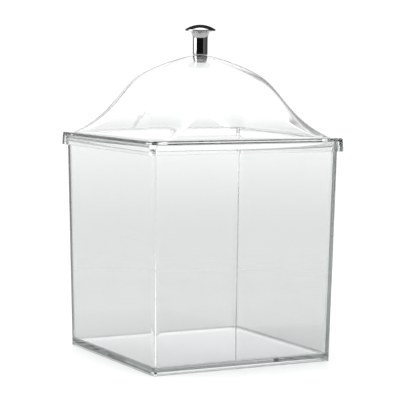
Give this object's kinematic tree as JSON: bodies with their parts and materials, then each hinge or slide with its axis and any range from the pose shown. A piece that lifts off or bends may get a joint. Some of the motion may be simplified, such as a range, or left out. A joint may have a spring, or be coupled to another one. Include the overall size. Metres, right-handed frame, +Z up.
{
  "type": "square storage jar",
  "caption": "Clear square countertop storage jar with tapering walls and a lift-off bell-domed lid that carries a chromed mushroom knob.",
  "frame": {"origin": "middle of the foot's underside, on the surface the jar stands on", "axes": "+Z up along the knob's axis, X and Y square to the four walls"},
  "size_m": [0.1368, 0.1368, 0.2151],
  "materials": {
    "clear_plastic": "clear, polished, as moulded crystal styrene",
    "knob_chrome": "bright chrome plate",
    "screw_steel": "nickel-plated steel"
  },
  "bodies": {
    "jar": {"jar_body": "clear_plastic"},
    "lid_set": {"lid": "clear_plastic", "knob": "knob_chrome", "knob_screw": "screw_steel", "knob_washer": "screw_steel"}
  },
  "joints": [
    {"name": "lid_lift", "type": "slide", "parent": "jar", "child": "lid_set", "axis": [0, 0, 1], "range_m": [0, 0.1]}
  ]
}
